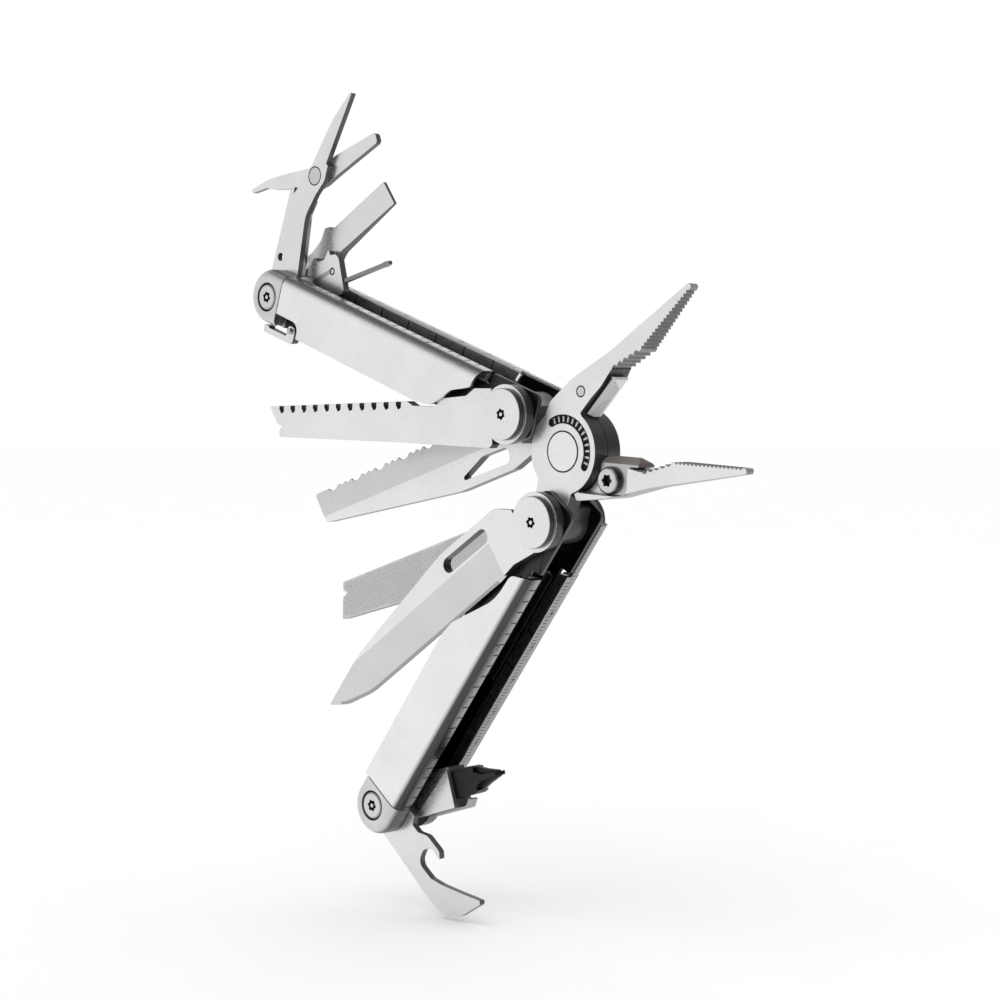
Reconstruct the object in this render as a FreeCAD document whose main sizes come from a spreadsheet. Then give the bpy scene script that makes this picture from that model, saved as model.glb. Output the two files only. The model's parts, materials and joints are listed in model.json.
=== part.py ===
import FreeCAD, Part
import Sketcher
import math
import os

# Folding pocket multi tool, fanned open: pliers on two handles, with a knife,
# a file, a saw, a serrated blade and five small tools folded out of them.
#
# Frame: millimetres, +Z up, origin at the middle of the plier pivot.  The tool
# opens in the XZ plane and its front face looks along -Y.  Each handle and each
# tool is drawn in its own flat frame: x along the piece, y across it and z
# through its thickness.  On handle A the z of the handle points to the front;
# handle B is the same handle turned over, so there it points to the rear.

Vector = FreeCAD.Vector
doc = FreeCAD.newDocument("multi_tool")
sheet = doc.addObject("Spreadsheet::Sheet", "Sizes")

SIZES = {
    # where the big pieces stand
    "jaw_a_angle": 45.5, "jaw_b_angle": -3.0, "arm_angle": 206.8, "arm_length": 16.1,
    "handle_a_angle": 233.0, "handle_b_angle": 160.5, "handle_pitch": 86.0,
    # thickness, measured from the middle plane outwards
    "jaw_half": 4.1, "channel_half": 4.2, "wall_sheet": 1.0, "blade_inner": 5.35,
    "blade_sheet": 2.4, "disc_inner": 7.8, "disc_sheet": 1.2, "body_half": 9.0,
    "cover_sheet": 1.1, "washer_sheet": 0.13,
    # handle section
    "rail_top": 6.8, "lip_bottom": 4.0, "back_edge": 6.4,
    "cover_start": 9.5, "cover_end": 81.2, "rail_round": 2.4,
    # round features
    "rivet_radius": 4.4, "bolt_radius": 2.5, "disc_radius": 5.7, "jaw_disc": 9.4,
    "screw_radius": 1.5, "screw_head": 3.4, "fit_gap": 0.05,
    "tang_radius": 6.6, "root_radius": 4.6,
    # how far each tool stands open
    "knife_open": 19.0, "file_open": 36.5, "saw_open": 20.8, "serrated_open": 37.0,
    "opener_turn": 90.0, "bit_driver_turn": 145.0, "scissors_turn": 92.0,
    "flat_driver_turn": 127.0, "small_driver_turn": 148.0,
    # tool sheets
    "opener_sheet": 1.6, "scissors_sheet": 1.45, "flat_driver_sheet": 2.6,
    "small_driver_sheet": 1.8, "leaf_sheet": 0.9, "insert_sheet": 5.2,
    "large_bit_width": 6.4, "large_bit_sheet": 3.4, "small_bit_sheet": 1.0,
}
for row, (name, value) in enumerate(SIZES.items(), start=1):
    sheet.set("A%d" % row, name)
    sheet.set("B%d" % row, "%.4f" % value)
    sheet.setAlias("B%d" % row, name)
doc.recompute()


def size(name):
    return float(sheet.get(name))


def direction(angle):
    turn = math.radians(angle)
    return Vector(math.cos(turn), 0, math.sin(turn))


def place(origin, angle, face):
    """Flat frame at origin with x at angle; face +1 looks forward, -1 to the rear."""
    lay = FreeCAD.Rotation(Vector(1, 0, 0), 90 * face)
    swing = FreeCAD.Rotation(Vector(0, 1, 0), -angle)
    return FreeCAD.Placement(origin, swing.multiply(lay))


ARM = size("arm_length")
PIVOT = {
    "a": direction(size("jaw_a_angle") + size("arm_angle")) * ARM,
    "b": direction(size("jaw_b_angle") - size("arm_angle")) * ARM,
}
HANDLE_ANGLE = {"a": size("handle_a_angle"), "b": size("handle_b_angle")}
FACE = {"a": 1, "b": -1}
PITCH = size("handle_pitch")
SCREW = {side: PIVOT[side] + direction(HANDLE_ANGLE[side]) * PITCH for side in "ab"}


def at_pivot(side, opened=0.0):
    """Frame of a piece on the handle pivot, swung out of the back by opened."""
    return place(PIVOT[side], HANDLE_ANGLE[side] - FACE[side] * opened, FACE[side])


def at_screw(side, turn):
    """Frame of a tool on the end screw; turn 180 is stowed and 0 points straight on."""
    return place(SCREW[side], HANDLE_ANGLE[side] + FACE[side] * turn, FACE[side])


def at_jaw(side):
    angles = {"a": size("jaw_a_angle"), "b": size("jaw_b_angle")}
    return place(Vector(0, 0, 0), angles[side], FACE[side])


# ---------------------------------------------------------------- building helpers

PIECES = []


def new_body(label, placement):
    body = doc.addObject("PartDesign::Body", label)
    body.Label = label
    body.Placement = placement
    PIECES.append(body)
    return body


def rounded(corners):
    """Closed outline through (x, y) or (x, y, radius) corners, as lines and arcs."""
    points = [Vector(c[0], c[1], 0) for c in corners]
    radii = [c[2] if len(c) > 2 else 0.0 for c in corners]
    count = len(points)
    starts, ends, arcs = [], [], []
    for i, point in enumerate(points):
        before = (points[i - 1] - point).normalize()
        after = (points[(i + 1) % count] - point).normalize()
        half = before.getAngle(after) / 2
        reach = radii[i] / math.tan(half) if radii[i] else 0.0
        first = point + before * reach
        last = point + after * reach
        starts.append(first)
        ends.append(last)
        if radii[i]:
            middle = (before + after).normalize()
            centre = point + middle * (radii[i] / math.sin(half))
            arcs.append(Part.Arc(first, centre - middle * radii[i], last))
        else:
            arcs.append(None)
    edges = []
    for i in range(count):
        if arcs[i]:
            edges.append(arcs[i])
        following = starts[(i + 1) % count]
        if (following - ends[i]).Length > 1e-6:
            edges.append(Part.LineSegment(ends[i], following))
    return edges


def box_outline(x0, y0, x1, y1, radius=0.0):
    return rounded([(x0, y0, radius), (x1, y0, radius), (x1, y1, radius), (x0, y1, radius)])


def slot_outline(start, end, radius):
    """Round-ended slot between two points."""
    a = Vector(start[0], start[1], 0)
    b = Vector(end[0], end[1], 0)
    along = (b - a).normalize()
    across = Vector(-along.y, along.x, 0) * radius
    return [
        Part.LineSegment(a + across, b + across),
        Part.Arc(b + across, b + along * radius, b - across),
        Part.LineSegment(b - across, a - across),
        Part.Arc(a - across, a - along * radius, a + across),
    ]


def star_outline(x, y, radius, lobes=6):
    """Six-lobed driver recess."""
    corners = []
    for i in range(2 * lobes):
        reach = radius if i % 2 == 0 else radius * 0.72
        turn = math.pi * i / lobes
        corners.append((x + reach * math.cos(turn), y + reach * math.sin(turn), radius * 0.12))
    return rounded(corners)


def new_sketch(body, outlines, level=None, plane="XY_Plane", circles=()):
    """Sketch on an origin plane; level is the alias or formula of its height."""
    sketch = body.newObject("Sketcher::SketchObject", body.Name + "_sketch")
    origin = [f for f in body.Origin.OriginFeatures if f.Role == plane][0]
    sketch.AttachmentSupport = [(origin, "")]
    sketch.MapMode = "FlatFace"
    if level:
        sketch.setExpression("AttachmentOffset.Base.z", level)
    for outline in outlines:
        for edge in outline:
            sketch.addGeometry(edge, False)
    for x, y, radius in circles:
        index = sketch.addGeometry(Part.Circle(Vector(x, y, 0), Vector(0, 0, 1), 1.0), False)
        constraint = sketch.addConstraint(Sketcher.Constraint("Radius", index, 1.0))
        sketch.setExpression("Constraints[%d]" % constraint, radius)
    return sketch


def pad(body, sketch, length, midplane=False, down=False):
    feature = body.newObject("PartDesign::Pad", body.Name + "_pad")
    feature.Profile = sketch
    feature.setExpression("Length", length)
    feature.Midplane = midplane
    feature.Reversed = down
    doc.recompute()
    return feature


def pocket(body, sketch, length, midplane=False, up=False):
    """Cuts down from the sketch, or up, or both ways; stops if nothing is cut."""
    before = body.Shape.Volume
    feature = body.newObject("PartDesign::Pocket", body.Name + "_pocket")
    feature.Profile = sketch
    feature.setExpression("Length", length)
    feature.Midplane = midplane
    feature.Reversed = up
    doc.recompute()
    if body.Shape.Volume > before - 1e-6:
        raise RuntimeError("nothing cut from " + body.Label)
    return feature


def through(body, outlines, circles=()):
    """Cuts outlines through the whole thickness."""
    sketch = new_sketch(body, outlines, circles=circles)
    return pocket(body, sketch, "40", midplane=True)


def fillet(body, chosen, radius):
    """Rounds the edges of the last feature that chosen(edge) picks."""
    base = body.Tip
    names = ["Edge%d" % (i + 1) for i, edge in enumerate(base.Shape.Edges) if chosen(edge)]
    feature = body.newObject("PartDesign::Fillet", body.Name + "_round")
    feature.Base = (base, names)
    feature.Radius = radius
    doc.recompute()


# ---------------------------------------------------------------- jaws

ARM_END = (ARM * math.cos(math.radians(size("arm_angle"))),
           ARM * math.sin(math.radians(size("arm_angle"))))
INSERT_SCREW = (12.9, 5.3)
INSERT_FLOOR = -1.4
FINE_PITCH = 0.98


def jaw(side):
    """One jaw: nose, half-thick pivot disc and the arm that carries the handle."""
    body = new_body("jaw_" + side, at_jaw(side))
    nose = rounded([
        (21.5, 2.9), (29.5, 0.25), (47.6, 0.25, 0.4), (47.9, 1.4, 0.6), (24.6, 5.9, 30.0),
        (12.6, 9.2, 8.0), (4.9, 10.3, 2.0), (-3.0, 7.5), (-3.0, 0.3), (8.9, 0.3, 0.5),
        (9.6, 2.2), (17.5, 2.2),
    ])
    pad(body, new_sketch(body, [nose]), "2 * Sizes.jaw_half", midplane=True)
    along = Vector(ARM_END[0], ARM_END[1], 0).normalize()
    across = Vector(-along.y, along.x, 0)
    waist = [along * 2 + across * 5.6, along * ARM + across * 4.4,
             along * ARM - across * 4.4, along * 2 - across * 5.6]
    pad(body, new_sketch(body, [rounded([(p.x, p.y) for p in waist])]),
        "2 * Sizes.jaw_half", midplane=True)
    pad(body, new_sketch(body, [], circles=[ARM_END + ("5.0",)]),
        "2 * Sizes.jaw_half", midplane=True)
    other_disc = new_sketch(body, [], circles=[(0, 0, "Sizes.jaw_disc + 0.25")])
    pocket(body, other_disc, "Sizes.jaw_half + 1")
    other_arm = rounded([(0, 0), (5.4, 12.4), (-2.0, 14.0), (-10.0, 8.0)])
    pocket(body, new_sketch(body, [other_arm]), "Sizes.jaw_half + 1")
    own_arm = [across * 7, along * 11.5 + across * 7, along * 11.5 - across * 7, across * -7]
    pocket(body, new_sketch(body, [rounded([(p.x, p.y) for p in own_arm])]),
           "Sizes.jaw_half + 1")
    disc = new_sketch(body, [], level="Sizes.fit_gap", circles=[(0, 0, "Sizes.jaw_disc")])
    pad(body, disc, "Sizes.jaw_half - Sizes.fit_gap")
    through(body, [], circles=[
        (0, 0, "Sizes.rivet_radius + Sizes.fit_gap"),
        ARM_END + ("Sizes.bolt_radius + Sizes.fit_gap",),
        INSERT_SCREW + ("1.2",)])
    taper_nose(body)
    cut_teeth(body)
    seat_insert(body)
    mark_disc(body)
    return body


def taper_nose(body):
    """Thins the nose from the pivot to the needle tip."""
    sides = []
    for sign in (1, -1):
        corners = [(14, 4.1), (22, 3.1), (30, 2.6), (49, 1.1), (49, 6), (14, 6)]
        sides.append(rounded([(x, sign * z) for x, z in corners]))
    pocket(body, new_sketch(body, sides, plane="XZ_Plane"), "60", midplane=True)


def cut_teeth(body):
    """Fine grooves on the needle nose and coarse scallops of the pipe grip."""
    grooves = []
    for i in range(17):
        x = 30.2 + i * FINE_PITCH
        grooves.append(rounded([(x, -0.5), (x + 0.74, -0.5), (x + 0.74, 0.3), (x + 0.37, 0.72),
                                (x, 0.3)]))
    through(body, grooves)
    scallops = []
    for i in range(5):
        share = (i + 0.5) / 5
        scallops.append((21.7 + 7.6 * share, 2.75 - 2.5 * share, "0.68"))
    for scallop in scallops:
        through(body, [], circles=[scallop])


def seat_insert(body):
    """Recess on the inner side of the jaw for the clamped wire cutter."""
    recess = rounded([(5.0, 1.0), (18.2, 1.0), (18.2, 8.5, 2.2), (5.0, 8.5)])
    pocket(body, new_sketch(body, [recess], level="%g" % INSERT_FLOOR), "10")


def mark_disc(body):
    """Curved recess round the pivot with a row of plain raised bars in it."""
    inner, outer, reach = 6.1, 8.0, 72.0
    ends = [math.radians(a) for a in (-reach, reach)]

    def polar(radius, turn):
        return Vector(radius * math.cos(turn), radius * math.sin(turn), 0)

    middle = (inner + outer) / 2
    cap = (outer - inner) / 2
    edges = [
        Part.Arc(polar(outer, ends[0]), polar(outer, 0), polar(outer, ends[1])),
        Part.Arc(polar(outer, ends[1]), polar(middle, ends[1] + cap / middle),
                 polar(inner, ends[1])),
        Part.Arc(polar(inner, ends[1]), polar(inner, 0), polar(inner, ends[0])),
        Part.Arc(polar(inner, ends[0]), polar(middle, ends[0] - cap / middle),
                 polar(outer, ends[0])),
    ]
    pocket(body, new_sketch(body, [edges], level="Sizes.jaw_half"), "0.6")
    bars = []
    for i in range(13):
        turn = math.radians(-66 + 11 * i)
        lean = math.radians(2.2)
        corners = [polar(inner + 0.3, turn - lean), polar(outer - 0.3, turn - lean),
                   polar(outer - 0.3, turn + lean), polar(inner + 0.3, turn + lean)]
        bars.append(rounded([(c.x, c.y) for c in corners]))
    pad(body, new_sketch(body, bars, level="Sizes.jaw_half - 0.7"), "0.55")


def cutter_insert(side):
    """Hard wire cutter: a clamp plate in the recess and the cutting bar beside it."""
    body = new_body("cutter_insert_" + side, at_jaw(side))
    plate = rounded([(9.75, 1.9), (18.0, 1.9), (18.0, 8.3, 2.1), (9.75, 8.3, 1.0)])
    floor = "%g" % INSERT_FLOOR
    pad(body, new_sketch(body, [plate], level=floor), "1.1", down=True)
    bar = rounded([(9.85, 0.6), (10.6, 0.12), (18.8, 0.12), (20.3, 1.2), (20.3, 2.15), (9.85, 2.15)])
    pad(body, new_sketch(body, [bar], level=floor + " - 1.1"), "Sizes.insert_sheet")
    sharpen_bar(body)
    through(body, [], circles=[INSERT_SCREW + ("1.2",)])
    return body


def sharpen_bar(body):
    """Grinds the bar of a cutter insert to a blunt V that points at the other jaw."""
    low = INSERT_FLOOR - 1.1
    high = low + size("insert_sheet")
    middle = (low + high) / 2
    for outer, out in ((low, -1), (high, 1)):
        land = middle + out * 0.25
        wedge = rounded([(-0.5, land), (0.12, land), (1.6, outer), (1.6, outer + out * 0.5),
                         (-0.5, outer + out * 0.5)])
        pocket(body, new_sketch(body, [wedge], level="9", plane="YZ_Plane"), "12", up=True)


def insert_screw(side):
    """Domed six-lobe screw; its shank goes through the jaw and shows as a small pin."""
    body = new_body("insert_screw_" + side, at_jaw(side))
    x, y = INSERT_SCREW
    top = INSERT_FLOOR - 1.1
    pad(body, new_sketch(body, [], level="%g" % top, circles=[(x, y, "3.0")]), "1.5", down=True)
    dome(body, 0.9)
    pad(body, new_sketch(body, [], level="%g" % top, circles=[(x, y, "1.15")]),
        "Sizes.jaw_half + %g" % -top)
    pocket(body, new_sketch(body, [star_outline(x, y, 1.5)], level="%g" % (top - 1.5)), "0.9",
           up=True)
    return body


def dome(body, radius):
    """Rounds the rim of the first disc of a body on its outer side."""
    box = body.Tip.Shape.BoundBox
    level = max(box.ZMax, -box.ZMin)

    def rim(edge):
        return edge.BoundBox.ZLength < 1e-3 and abs(abs(edge.CenterOfMass.z) - level) < 1e-3

    fillet(body, rim, radius)


def plier_rivet():
    body = new_body("plier_rivet", at_jaw("a"))
    pad(body, new_sketch(body, [], circles=[(0, 0, "Sizes.rivet_radius")]),
        "2 * Sizes.jaw_half + 0.1", midplane=True)
    return body


# ---------------------------------------------------------------- handles

SCREW_SEAT = 7.6


def handle_frame(side):
    """Inner frame: two walls, the pivot ears, the floor and the solid rounded end."""
    body = new_body("handle_%s_frame" % side, at_pivot(side))
    step = {"a": 9.9, "b": 8.7}[side]
    wall = rounded([
        (-6.6, 6.6, 1.8), (step, 6.6, 0.6), (step + 0.6, 3.9), (82.0, 3.9), (82.0, -6.2),
        (8.0, -6.2, 3.0), (-1.0, -6.8, 2.5), (-6.6, -3.0, 2.5),
    ])
    pad(body, new_sketch(body, [wall]), "2 * (Sizes.channel_half + Sizes.wall_sheet)",
        midplane=True)
    floor = box_outline(14.0, -6.4, 46.0, -5.4)
    pad(body, new_sketch(body, [floor]), "2 * Sizes.channel_half + 1", midplane=True)
    end = rounded([(81.35, -6.4), (PITCH + 6.8, -6.4, 6.6), (PITCH + 6.8, 6.8, 6.6), (81.35, 6.8)])
    pad(body, new_sketch(body, [end]), "2 * Sizes.body_half", midplane=True)
    round_end(body)
    channel = box_outline(-20, -5.4, 110, 20)
    behind = [box_outline(-20, -20, 14.0, 20), box_outline(46.0, -20, 110, 20)]
    pocket(body, new_sketch(body, [channel]), "2 * Sizes.channel_half", midplane=True)
    for outline in behind:
        pocket(body, new_sketch(body, [outline]), "2 * Sizes.channel_half", midplane=True)
    through(body, [], circles=[
        (0, 0, "Sizes.bolt_radius + Sizes.fit_gap"),
        (PITCH, 0, "Sizes.screw_radius + Sizes.fit_gap")])
    for up in (False, True):
        level = "-%g" % SCREW_SEAT if not up else "%g" % SCREW_SEAT
        seat = new_sketch(body, [], level=level, circles=[(PITCH, 0, "Sizes.screw_head + 0.15")])
        pocket(body, seat, "5", up=up)
    through(body, [box_outline(13.6, 0.9, 45.0, 3.3)])
    for sign in (-1, 1):
        tips = box_outline(-8.0, sign * 5.3, 4.8, sign * 7.85)
        pocket(body, new_sketch(body, [tips], level="81", plane="YZ_Plane"), "2.5", up=True)
    return body


def round_end(body):
    """Brings the outer faces of the end block round to its rim."""
    level = size("body_half")

    def rim(edge):
        box = edge.BoundBox
        flat = box.ZLength < 1e-3 and abs(abs(box.ZMin) - level) < 1e-3
        return flat and box.XMax > 81.5

    fillet(body, rim, 2.3)


COVER_CUTS = {
    "a": [(0, -10), (0, 10), (10.6, 10), (10.9, 6.0, 1.0), (13.0, 2.2, 2.4), (20.5, 1.8, 14.0),
          (33.5, -5.6, 4.0), (38.5, -6.6), (40.0, -10)],
    "b": [(0, -10), (0, 10), (9.5, 10), (9.6, 7.0), (11.5, 2.2, 1.5), (16.7, -0.2, 2.0),
          (22.0, -5.6, 3.0), (27.5, -6.5), (28.0, -10)],
}


def handle_cover(side, where):
    """Outer cover: a sheet folded over the blade slot into a rail and an inner lip."""
    body = new_body("handle_%s_cover_%s" % (side, where), at_pivot(side))
    sign = FACE[side] if where == "front" else -FACE[side]
    half = size("body_half")
    sheet_inner = half - size("cover_sheet")
    inner = size("channel_half")
    rail = size("rail_top")
    section = [
        (-size("back_edge"), sheet_inner), (-size("back_edge"), half),
        (rail, half, size("rail_round")), (rail, inner, 0.3), (size("lip_bottom"), inner),
        (size("lip_bottom"), inner + 1.05), (rail - 1.1, inner + 1.05),
        (rail - 1.1, sheet_inner, size("rail_round") - 1.1),
    ]
    outline = rounded([(c[0], sign * c[1]) + tuple(c[2:]) for c in section])
    start = "Sizes.cover_start"
    pad(body, new_sketch(body, [outline], level=start, plane="YZ_Plane"),
        "Sizes.cover_end - Sizes.cover_start")
    through(body, [rounded(COVER_CUTS[side])])
    if side == "b" and where == "front":
        through(body, [rounded([(72.2, -10), (72.2, -2.7, 2.4), (90, -2.7), (90, -10)])])
    if where == "rear":
        reach_over_pivot(body, sign)
    return body


def reach_over_pivot(body, sign):
    """The rail of a rear cover runs on over the pivot as a narrow strip."""
    under = size("disc_radius") + 0.05
    rail = size("rail_top")
    section = [(under, 5.4), (rail, 5.4), (rail, 6.3), (rail - 0.45, 7.85), (under, 7.85)]
    outline = rounded([(height, sign * depth) for height, depth in section])
    pad(body, new_sketch(body, [outline], level="-3.8", plane="YZ_Plane"), "15.3")


def pivot_bolt(side):
    """Bolt of the handle pivot, with its wide disc head on the front."""
    body = new_body("handle_%s_pivot_bolt" % side, at_pivot(side))
    front = FACE[side] > 0
    level = "Sizes.disc_inner" if front else "-Sizes.disc_inner"
    pad(body, new_sketch(body, [], level=level, circles=[(0, 0, "Sizes.disc_radius")]),
        "Sizes.disc_sheet", down=not front)
    dome(body, 0.25)
    pad(body, new_sketch(body, [], level=level, circles=[(0, 0, "Sizes.bolt_radius")]),
        "2 * Sizes.disc_inner + 0.6", down=front)
    rim = "Sizes.body_half" if front else "-Sizes.body_half"
    recess = new_sketch(body, [star_outline(0, 0, 1.4)], level=rim, circles=[(0, 0, "0.42")])
    pocket(body, recess, "0.9", up=not front)
    return body


def pivot_disc(side):
    """Matching disc on the rear end of the pivot bolt."""
    body = new_body("handle_%s_pivot_disc" % side, at_pivot(side))
    front = FACE[side] > 0
    level = "-Sizes.disc_inner" if front else "Sizes.disc_inner"
    pad(body, new_sketch(body, [], level=level, circles=[(0, 0, "Sizes.disc_radius")]),
        "Sizes.disc_sheet", down=front)
    dome(body, 0.25)
    pocket(body, new_sketch(body, [], level=level, circles=[(0, 0, "Sizes.bolt_radius + 0.02")]),
           "0.65", up=not front)
    return body


def pivot_washers(side):
    """Thin bearing washers between the frame walls and the outer blades."""
    body = new_body("handle_%s_washers" % side, at_pivot(side))
    body.AllowCompound = True
    ring = [(0, 0, "Sizes.tang_radius - 0.3"), (0, 0, "Sizes.bolt_radius + Sizes.fit_gap")]
    wall = "Sizes.channel_half + Sizes.wall_sheet"
    pad(body, new_sketch(body, [], level=wall, circles=ring), "Sizes.washer_sheet")
    pad(body, new_sketch(body, [], level="-(%s)" % wall, circles=ring), "Sizes.washer_sheet",
        down=True)
    return body


def liner_lock(side, where):
    """Spring leaf in the frame wall that snaps out behind an opened blade."""
    body = new_body("handle_%s_lock_%s" % (side, where), at_pivot(side))
    sign = FACE[side] if where == "front" else -FACE[side]
    leaf = rounded([(13.9, 1.2, 0.3), (45.0, 1.2), (45.0, 3.0), (13.9, 3.0, 0.8)])
    if sign > 0:
        level = "Sizes.channel_half + 0.05"
    else:
        level = "-Sizes.channel_half - 0.05"
    pad(body, new_sketch(body, [leaf], level=level), "Sizes.leaf_sheet", down=sign < 0)
    return body


def tool_screw(side):
    """Screw of the end pivot: domed six-lobe head on the front."""
    body = new_body("handle_%s_tool_screw" % side, at_pivot(side))
    front = FACE[side] > 0
    level = "%g" % SCREW_SEAT if front else "-%g" % SCREW_SEAT
    pad(body, new_sketch(body, [], level=level, circles=[(PITCH, 0, "Sizes.screw_head")]),
        "Sizes.body_half - %g" % SCREW_SEAT, down=not front)
    dome(body, 0.8)
    pad(body, new_sketch(body, [], level=level, circles=[(PITCH, 0, "Sizes.screw_radius")]),
        "%g" % (2 * SCREW_SEAT), down=front)
    rim = "Sizes.body_half" if front else "-Sizes.body_half"
    recess = new_sketch(body, [star_outline(PITCH, 0, 1.5)], level=rim,
                        circles=[(PITCH, 0, "0.5")])
    pocket(body, recess, "1.0", up=not front)
    return body


def tool_nut(side):
    """Round nut on the rear end of the tool screw."""
    body = new_body("handle_%s_tool_nut" % side, at_pivot(side))
    front = FACE[side] > 0
    level = "-%g" % SCREW_SEAT if front else "%g" % SCREW_SEAT
    pad(body, new_sketch(body, [], level=level, circles=[(PITCH, 0, "Sizes.screw_head")]),
        "Sizes.body_half - %g" % SCREW_SEAT, down=front)
    dome(body, 0.8)
    return body


def tool_spring(side):
    """Back spring: a comb of leaves that press on the roots of the end tools."""
    body = new_body("handle_%s_tool_spring" % side, at_pivot(side))
    plate = rounded([(46.0, -6.2), (80.5, -6.2, 0.3), (84.5, -5.7, 0.2), (84.5, -5.1, 0.2),
                     (80.5, -5.4), (46.0, -5.4)])
    pad(body, new_sketch(body, [plate]), "2 * Sizes.channel_half - 0.3", midplane=True)
    gaps = {"a": [2.38], "b": [-0.95, 1.02]}[side]
    slits = [box_outline(52.0, z - 0.15, 90.0, z + 0.15) for z in gaps]
    pocket(body, new_sketch(body, slits, plane="XZ_Plane"), "40", midplane=True)
    return body


# ---------------------------------------------------------------- outer blades

def outer_blade(label, side, where, opened, corners):
    """Blade in the slot of a cover; drawn stowed, then swung out of the back."""
    body = new_body(label, at_pivot(side, opened))
    sign = FACE[side] if where == "front" else -FACE[side]
    level = "Sizes.blade_inner" if sign > 0 else "-Sizes.blade_inner"
    pad(body, new_sketch(body, [rounded(corners)], level=level), "Sizes.blade_sheet",
        down=sign < 0)
    root = "Sizes.tang_radius" if where == "front" else "Sizes.disc_radius - 0.1"
    pad(body, new_sketch(body, [], level=level, circles=[(0, 0, root)]),
        "Sizes.blade_sheet", down=sign < 0)
    through(body, [], circles=[(0, 0, "Sizes.bolt_radius + Sizes.fit_gap")])
    return body, sign


def grind(body, sign, start, end, top, edge, land):
    """Wedge ground off both faces from height top to the cutting edge."""
    near = size("blade_inner")
    far = near + size("blade_sheet")
    middle = (near + far) / 2
    wedges = []
    for face, inward in ((near, 1), (far, -1)):
        bevel = middle - inward * land / 2
        out = face - inward * 0.5
        wedges.append([(top, face), (edge, bevel), (edge + 3, bevel), (edge + 3, out), (top, out)])
    for wedge in wedges:
        outline = rounded([(y, sign * z) for y, z in wedge])
        sketch = new_sketch(body, [outline], level="%g" % start, plane="YZ_Plane")
        pocket(body, sketch, "%g" % (end - start), up=True)


def knife():
    corners = [
        (4.5, -6.0), (9.0, -9.1, 2.0), (29.0, -9.6, 30.0), (66.0, -4.6, 60.0), (83.3, 0.3, 0.3),
        (78.0, 3.1, 12.0), (68.0, 5.1, 20.0), (16.5, 5.1, 1.0), (10.5, 4.4, 2.0), (4.0, 5.4),
    ]
    body, sign = outer_blade("knife", "a", "front", size("knife_open"), corners)
    through(body, [slot_outline((15.6, -5.8), (28.2, -6.1), 1.75)])
    grind(body, sign, 14.5, 90.0, -3.6, 5.2, 0.3)
    return body


def serrated_blade():
    corners = [
        (0, -5.5), (13.0, -9.0, 3.0), (31.4, -9.1, 20.0), (80.0, -3.2, 1.0), (83.4, 4.9, 0.5),
        (17.0, 5.1, 1.0), (10.5, 4.4, 2.0), (0, 5.5),
    ]
    body, sign = outer_blade("serrated_blade", "b", "rear", size("serrated_open"), corners)
    through(body, [rounded([(13.4, -3.4, 1.5), (14.0, -7.2, 1.5), (31.5, -6.9, 0.5),
                            (22.0, -3.2, 4.0)])])
    grind(body, sign, 16.0, 90.0, -1.6, 5.1, 0.35)
    x = 37.5
    for i in range(13):
        radius = 2.3 if i % 3 == 0 else 1.25
        x += radius * 0.95
        through(body, [], circles=[(x, 5.1 + radius * 0.52, "%g" % radius)])
        x += radius * 0.95
    return body


def saw():
    corners = [
        (4.0, -6.6), (5.0, -7.4, 0.4), (33.2, -5.8), (78.0, -3.9, 0.3), (78.0, -2.2), (77.0, -1.3),
        (78.7, -0.6), (81.4, 3.7, 0.2), (31.5, 3.7, 0.8), (29.5, 2.6), (22.0, 2.2, 0.6),
        (20.4, 4.0, 0.5), (12.0, 4.4, 1.0), (9.3, 6.0, 0.8), (4.0, 5.8),
    ]
    body, _ = outer_blade("saw", "b", "front", size("saw_open"), corners)
    gaps = []
    for i in range(11):
        x = 33.4 + i * 4.25
        gaps.append(rounded([(x, 4.2), (x + 1.6, 4.2), (x + 1.9, 3.0), (x + 1.2, 1.8, 0.3),
                             (x + 0.2, 2.2, 0.3)]))
    through(body, gaps)
    return body


def file_blade():
    corners = [
        (0, -5.5), (8.0, -6.6, 2.0), (35.0, -5.9), (80.4, -4.6, 0.3), (80.9, -2.6), (79.7, -1.7),
        (81.5, -1.0), (83.3, 4.3, 0.4), (62.0, 4.9), (14.0, 4.9, 2.0), (0, 5.5),
    ]
    body, _ = outer_blade("file", "a", "rear", size("file_open"), corners)
    through(body, [slot_outline((15.5, -3.6), (24.0, -3.9), 1.6)])
    return body


# ---------------------------------------------------------------- end tools of handle A

def end_tool(label, side, turn, level, sheet_size, corners):
    """Flat tool on the end screw: outline plus its round root."""
    body = new_body(label, at_screw(side, turn))
    pad(body, new_sketch(body, [rounded(corners)], level=level), sheet_size)
    pad(body, new_sketch(body, [], level=level, circles=[(0, 0, "Sizes.root_radius")]), sheet_size)
    through(body, [], circles=[(0, 0, "Sizes.screw_radius + Sizes.fit_gap")])
    return body


def can_opener():
    corners = [
        (0, -4.6), (2.5, -6.8, 1.5), (12.0, -7.3, 20.0), (23.0, -7.9, 12.0), (29.0, -7.4, 6.0),
        (33.4, -4.0, 6.0), (36.4, 3.5, 0.4), (35.8, 4.2, 0.3), (30.7, 1.2, 10.0), (25.0, -2.0, 3.0),
        (21.5, -3.5, 2.0), (16.2, -3.6, 2.2), (15.5, 0.2, 2.0), (17.6, 2.3, 1.0), (21.0, 2.0, 0.2),
        (19.6, 3.6, 1.2), (14.5, 3.6, 2.0), (11.8, 2.0, 0.8), (9.4, 2.0, 0.5), (8.6, 4.2, 0.5),
        (0, 4.6),
    ]
    return end_tool("can_opener", "a", size("opener_turn"), "2.45", "Sizes.opener_sheet", corners)


DRIVER_FLOOR = -3.6
DRIVER_SHEET = 5.8
BIT_FLOOR = -2.4


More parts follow.
